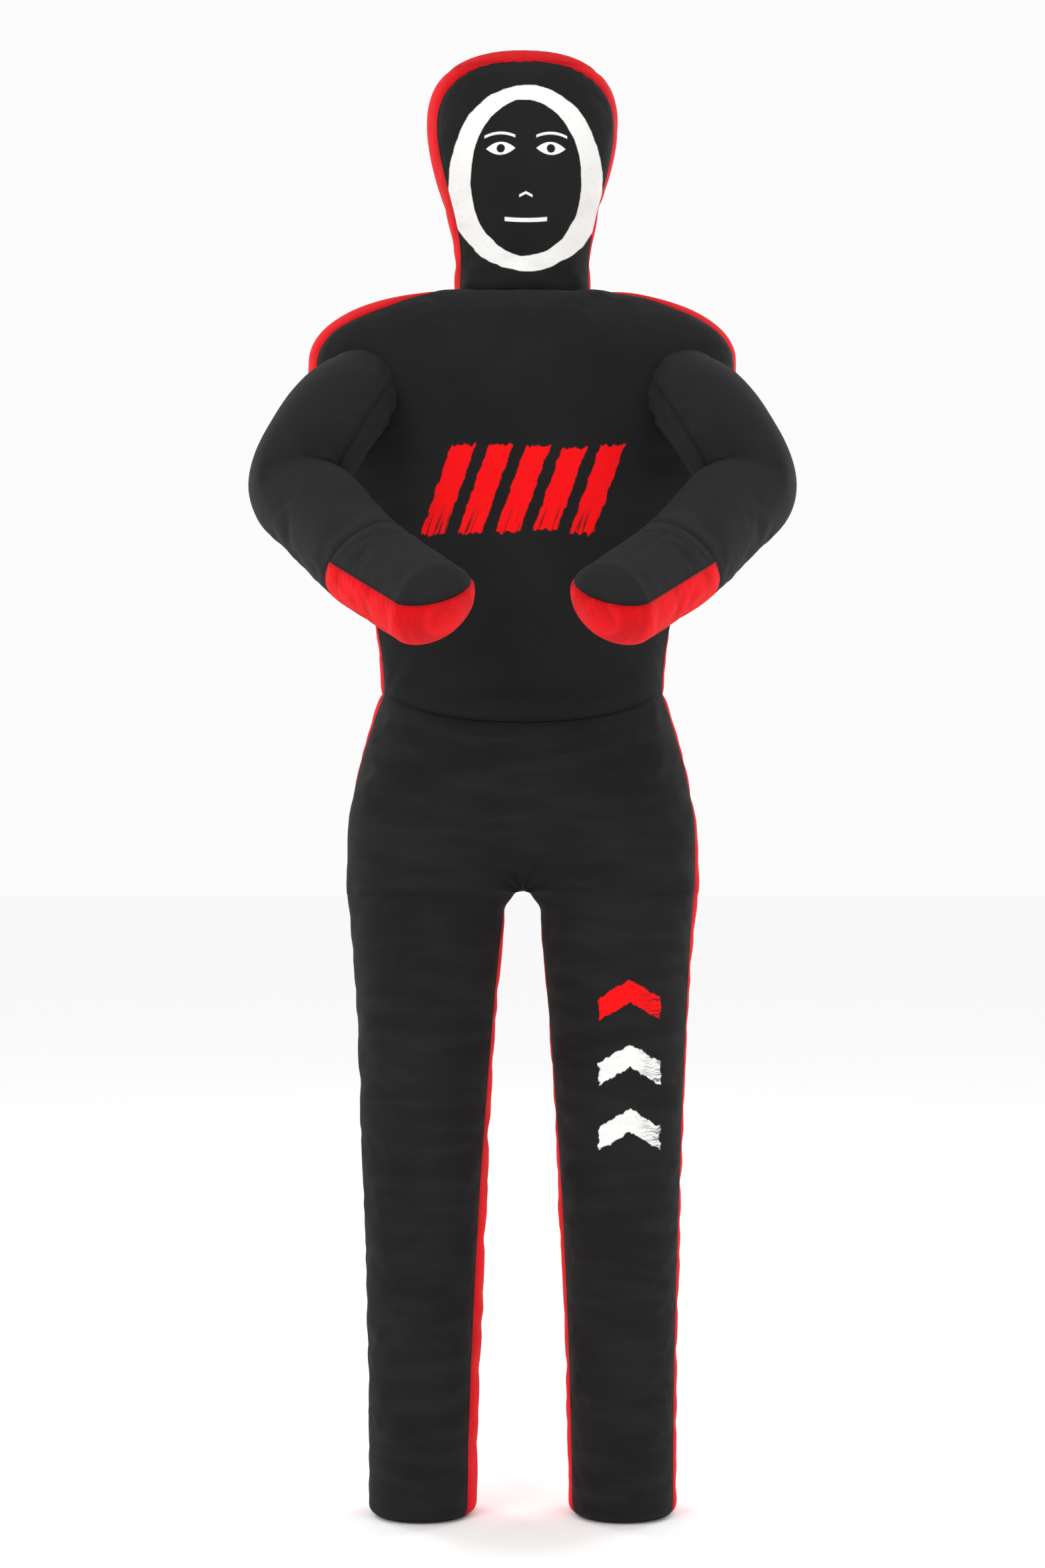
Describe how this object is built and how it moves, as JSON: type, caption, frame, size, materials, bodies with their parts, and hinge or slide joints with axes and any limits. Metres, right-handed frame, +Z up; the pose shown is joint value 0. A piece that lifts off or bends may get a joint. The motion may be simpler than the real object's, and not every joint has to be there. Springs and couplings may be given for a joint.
{
  "type": "grappling dummy",
  "caption": "Human-shaped stuffed canvas training dummy that stands on flat soles, with its arms held forward in a hug, jointed limbs and a filling zip down its back.",
  "frame": {"origin": "on the floor, below the middle of the whole outline with its arms held forward; the soles' centres are 190 mm behind it", "axes": "+Z up along the body, the face, chest and hands towards -Y, the dummy's own left towards +X"},
  "size_m": [0.6254, 0.6108, 1.7793],
  "materials": {
    "black_canvas": "heavy woven black canvas, matt",
    "black_canvas_head": "heavy woven black canvas with a printed plain face",
    "black_canvas_chest": "heavy woven black canvas with a printed red mark",
    "black_canvas_thigh": "heavy woven black canvas, printed mark on one thigh",
    "red_canvas": "heavy woven red canvas, matt",
    "sole_canvas": "heavy woven black canvas, worn",
    "stuffing": "packed textile shreds",
    "zip_tape": "woven black zip tape",
    "zip_coil": "black nylon coil",
    "zip_stop_metal": "dull nickel",
    "zip_slider_metal": "dull nickel"
  },
  "bodies": {
    "pelvis": {"pelvis_front_panel": "black_canvas", "pelvis_back_panel": "red_canvas", "pelvis_stuffing": "stuffing"},
    "torso": {"torso_front_panel": "black_canvas_chest", "torso_back_panel_right": "red_canvas", "torso_back_panel_left": "red_canvas", "torso_stuffing": "stuffing", "zip_tape_right": "zip_tape", "zip_tape_left": "zip_tape", "zip_coil_right": "zip_coil", "zip_coil_left": "zip_coil", "zip_top_stop": "zip_stop_metal", "zip_bottom_stop": "zip_stop_metal"},
    "head": {"head_front_panel": "black_canvas_head", "head_back_panel": "red_canvas", "head_stuffing": "stuffing"},
    "upper_arm_right": {"upper_sleeve_top_right": "black_canvas", "upper_sleeve_under_right": "black_canvas", "upper_arm_stuffing_right": "stuffing"},
    "forearm_right": {"lower_sleeve_top_right": "black_canvas", "lower_sleeve_under_right": "black_canvas", "forearm_stuffing_right": "stuffing", "hand_top_right": "black_canvas", "hand_palm_right": "red_canvas", "hand_stuffing_right": "stuffing"},
    "upper_arm_left": {"upper_sleeve_top_left": "black_canvas", "upper_sleeve_under_left": "black_canvas", "upper_arm_stuffing_left": "stuffing"},
    "forearm_left": {"lower_sleeve_top_left": "black_canvas", "lower_sleeve_under_left": "black_canvas", "forearm_stuffing_left": "stuffing", "hand_top_left": "black_canvas", "hand_palm_left": "red_canvas", "hand_stuffing_left": "stuffing"},
    "thigh_right": {"thigh_front_panel_right": "black_canvas_thigh", "thigh_back_panel_right": "red_canvas", "thigh_stuffing_right": "stuffing"},
    "shin_right": {"shin_front_panel_right": "black_canvas", "shin_back_panel_right": "red_canvas", "shin_stuffing_right": "stuffing", "sole_right": "sole_canvas"},
    "thigh_left": {"thigh_front_panel_left": "black_canvas_thigh", "thigh_back_panel_left": "red_canvas", "thigh_stuffing_left": "stuffing"},
    "shin_left": {"shin_front_panel_left": "black_canvas", "shin_back_panel_left": "red_canvas", "shin_stuffing_left": "stuffing", "sole_left": "sole_canvas"},
    "zip_slider": {"zip_slider": "zip_slider_metal"},
    "zip_pull": {"zip_pull": "zip_slider_metal"}
  },
  "joints": [
    {"name": "waist_bend", "type": "hinge", "parent": "pelvis", "child": "torso", "pos_m": [0, 0.204, 0.9968], "axis": [1, 0, 0], "range_deg": [-15, 50]},
    {"name": "neck_nod", "type": "hinge", "parent": "torso", "child": "head", "pos_m": [0, 0.202, 1.513], "axis": [1, 0, 0], "range_deg": [-30, 40]},
    {"name": "shoulder_lift_right", "type": "hinge", "parent": "torso", "child": "upper_arm_right", "pos_m": [-0.205, 0.057, 1.33767], "axis": [-1, 0, 0], "range_deg": [-30, 45]},
    {"name": "elbow_bend_right", "type": "hinge", "parent": "upper_arm_right", "child": "forearm_right", "pos_m": [-0.256, 0.005, 1.23105], "axis": [-0.4983, -0.6612, 0.5608], "range_deg": [-56, 11]},
    {"name": "hip_bend_right", "type": "hinge", "parent": "pelvis", "child": "thigh_right", "pos_m": [-0.115, 0.19, 0.76896], "axis": [-1, 0, 0], "range_deg": [-15, 90]},
    {"name": "knee_bend_right", "type": "hinge", "parent": "thigh_right", "child": "shin_right", "pos_m": [-0.11811, 0.19, 0.4272], "axis": [1, 0, 0], "range_deg": [-3, 90]},
    {"name": "shoulder_lift_left", "type": "hinge", "parent": "torso", "child": "upper_arm_left", "pos_m": [0.205, 0.057, 1.33767], "axis": [-1, 0, 0], "range_deg": [-30, 45]},
    {"name": "elbow_bend_left", "type": "hinge", "parent": "upper_arm_left", "child": "forearm_left", "pos_m": [0.256, 0.005, 1.23105], "axis": [-0.4983, 0.6612, -0.5608], "range_deg": [-56, 11]},
    {"name": "hip_bend_left", "type": "hinge", "parent": "pelvis", "child": "thigh_left", "pos_m": [0.115, 0.19, 0.76896], "axis": [-1, 0, 0], "range_deg": [-15, 90]},
    {"name": "knee_bend_left", "type": "hinge", "parent": "thigh_left", "child": "shin_left", "pos_m": [0.11811, 0.19, 0.4272], "axis": [1, 0, 0], "range_deg": [-3, 90]},
    {"name": "zip_slide", "type": "slide", "parent": "torso", "child": "zip_slider", "axis": [0, 0, -1], "range_m": [0, 0.3]},
    {"name": "zip_pull_flap", "type": "hinge", "parent": "zip_slider", "child": "zip_pull", "pos_m": [0, 0.3034, 1.4005], "axis": [1, 0, 0], "range_deg": [0, 160]}
  ]
}
